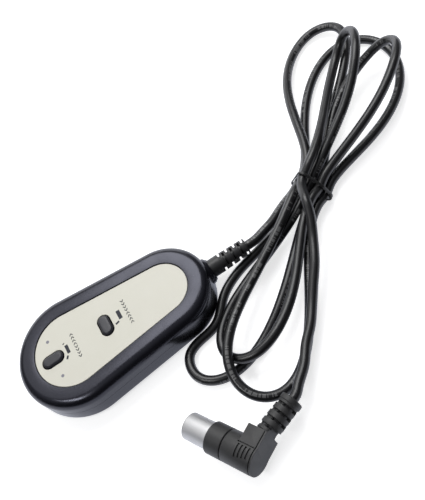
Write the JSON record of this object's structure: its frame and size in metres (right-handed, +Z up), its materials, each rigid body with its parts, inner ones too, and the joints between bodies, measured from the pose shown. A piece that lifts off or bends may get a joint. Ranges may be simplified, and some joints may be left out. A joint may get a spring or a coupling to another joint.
{
  "type": "wired hand control",
  "caption": "Handheld wired remote with a tapered oval housing, two push buttons, and a cord tied in a hank that ends in a right-angle round multi-pin plug.",
  "frame": {"origin": "centre of the housing's length and width, on the surface it lies on", "axes": "+Y along the housing towards its cord, +Z up through the face with the buttons, +X to the right of someone who looks at that face with the cord end away from them"},
  "size_m": [0.2033, 0.2606, 0.0312],
  "materials": {
    "housing_abs": "glossy moulded blue-black ABS",
    "plate_ivory": "satin ivory sheet",
    "button_grey": "satin dark grey moulding",
    "plunger_nylon": "moulded nylon",
    "switch_black": "moulded switch case",
    "board_laminate": "lacquered laminate",
    "screw_steel": "zinc-plated steel",
    "clamp_nylon": "moulded nylon",
    "cord_jacket": "satin black PVC jacket",
    "wire_insulation": "coloured wire insulation",
    "relief_rubber": "moulded black PVC",
    "tie_plastic": "plastic-coated wire",
    "shell_nickel": "bright nickel plate",
    "plug_moulding": "matte moulded PVC",
    "insert_black": "moulded insulator",
    "pin_nickel": "nickel-plated brass"
  },
  "bodies": {
    "handset": {"top_cover": "housing_abs", "base_cover": "housing_abs", "face_plate": "plate_ivory", "retract_switch": "switch_black", "extend_switch": "switch_black", "circuit_board": "board_laminate", "board_screws": "screw_steel", "housing_screws": "screw_steel", "cord_clamp": "clamp_nylon", "clamp_screws": "screw_steel", "inner_cord_end": "cord_jacket", "lead_wires": "wire_insulation", "handset_strain_relief": "relief_rubber", "cord_handset_run": "cord_jacket", "cord_hank": "cord_jacket", "twist_tie": "tie_plastic", "cord_plug_run": "cord_jacket", "plug_shell": "shell_nickel", "plug_ring": "plug_moulding", "plug_insert": "insert_black", "contact_pins": "pin_nickel", "plug_body": "plug_moulding", "plug_strain_relief": "plug_moulding"},
    "retract_key": {"retract_button": "button_grey", "retract_plunger": "plunger_nylon"},
    "extend_key": {"extend_button": "button_grey", "extend_plunger": "plunger_nylon"}
  },
  "joints": [
    {"name": "retract_press", "type": "slide", "parent": "handset", "child": "retract_key", "axis": [0, 0, -1], "range_m": [0, 0.001], "stiffness_N_per_m": 1500, "springref_m": -0.0005},
    {"name": "extend_press", "type": "slide", "parent": "handset", "child": "extend_key", "axis": [0, 0, -1], "range_m": [0, 0.001], "stiffness_N_per_m": 1500, "springref_m": -0.0005}
  ]
}
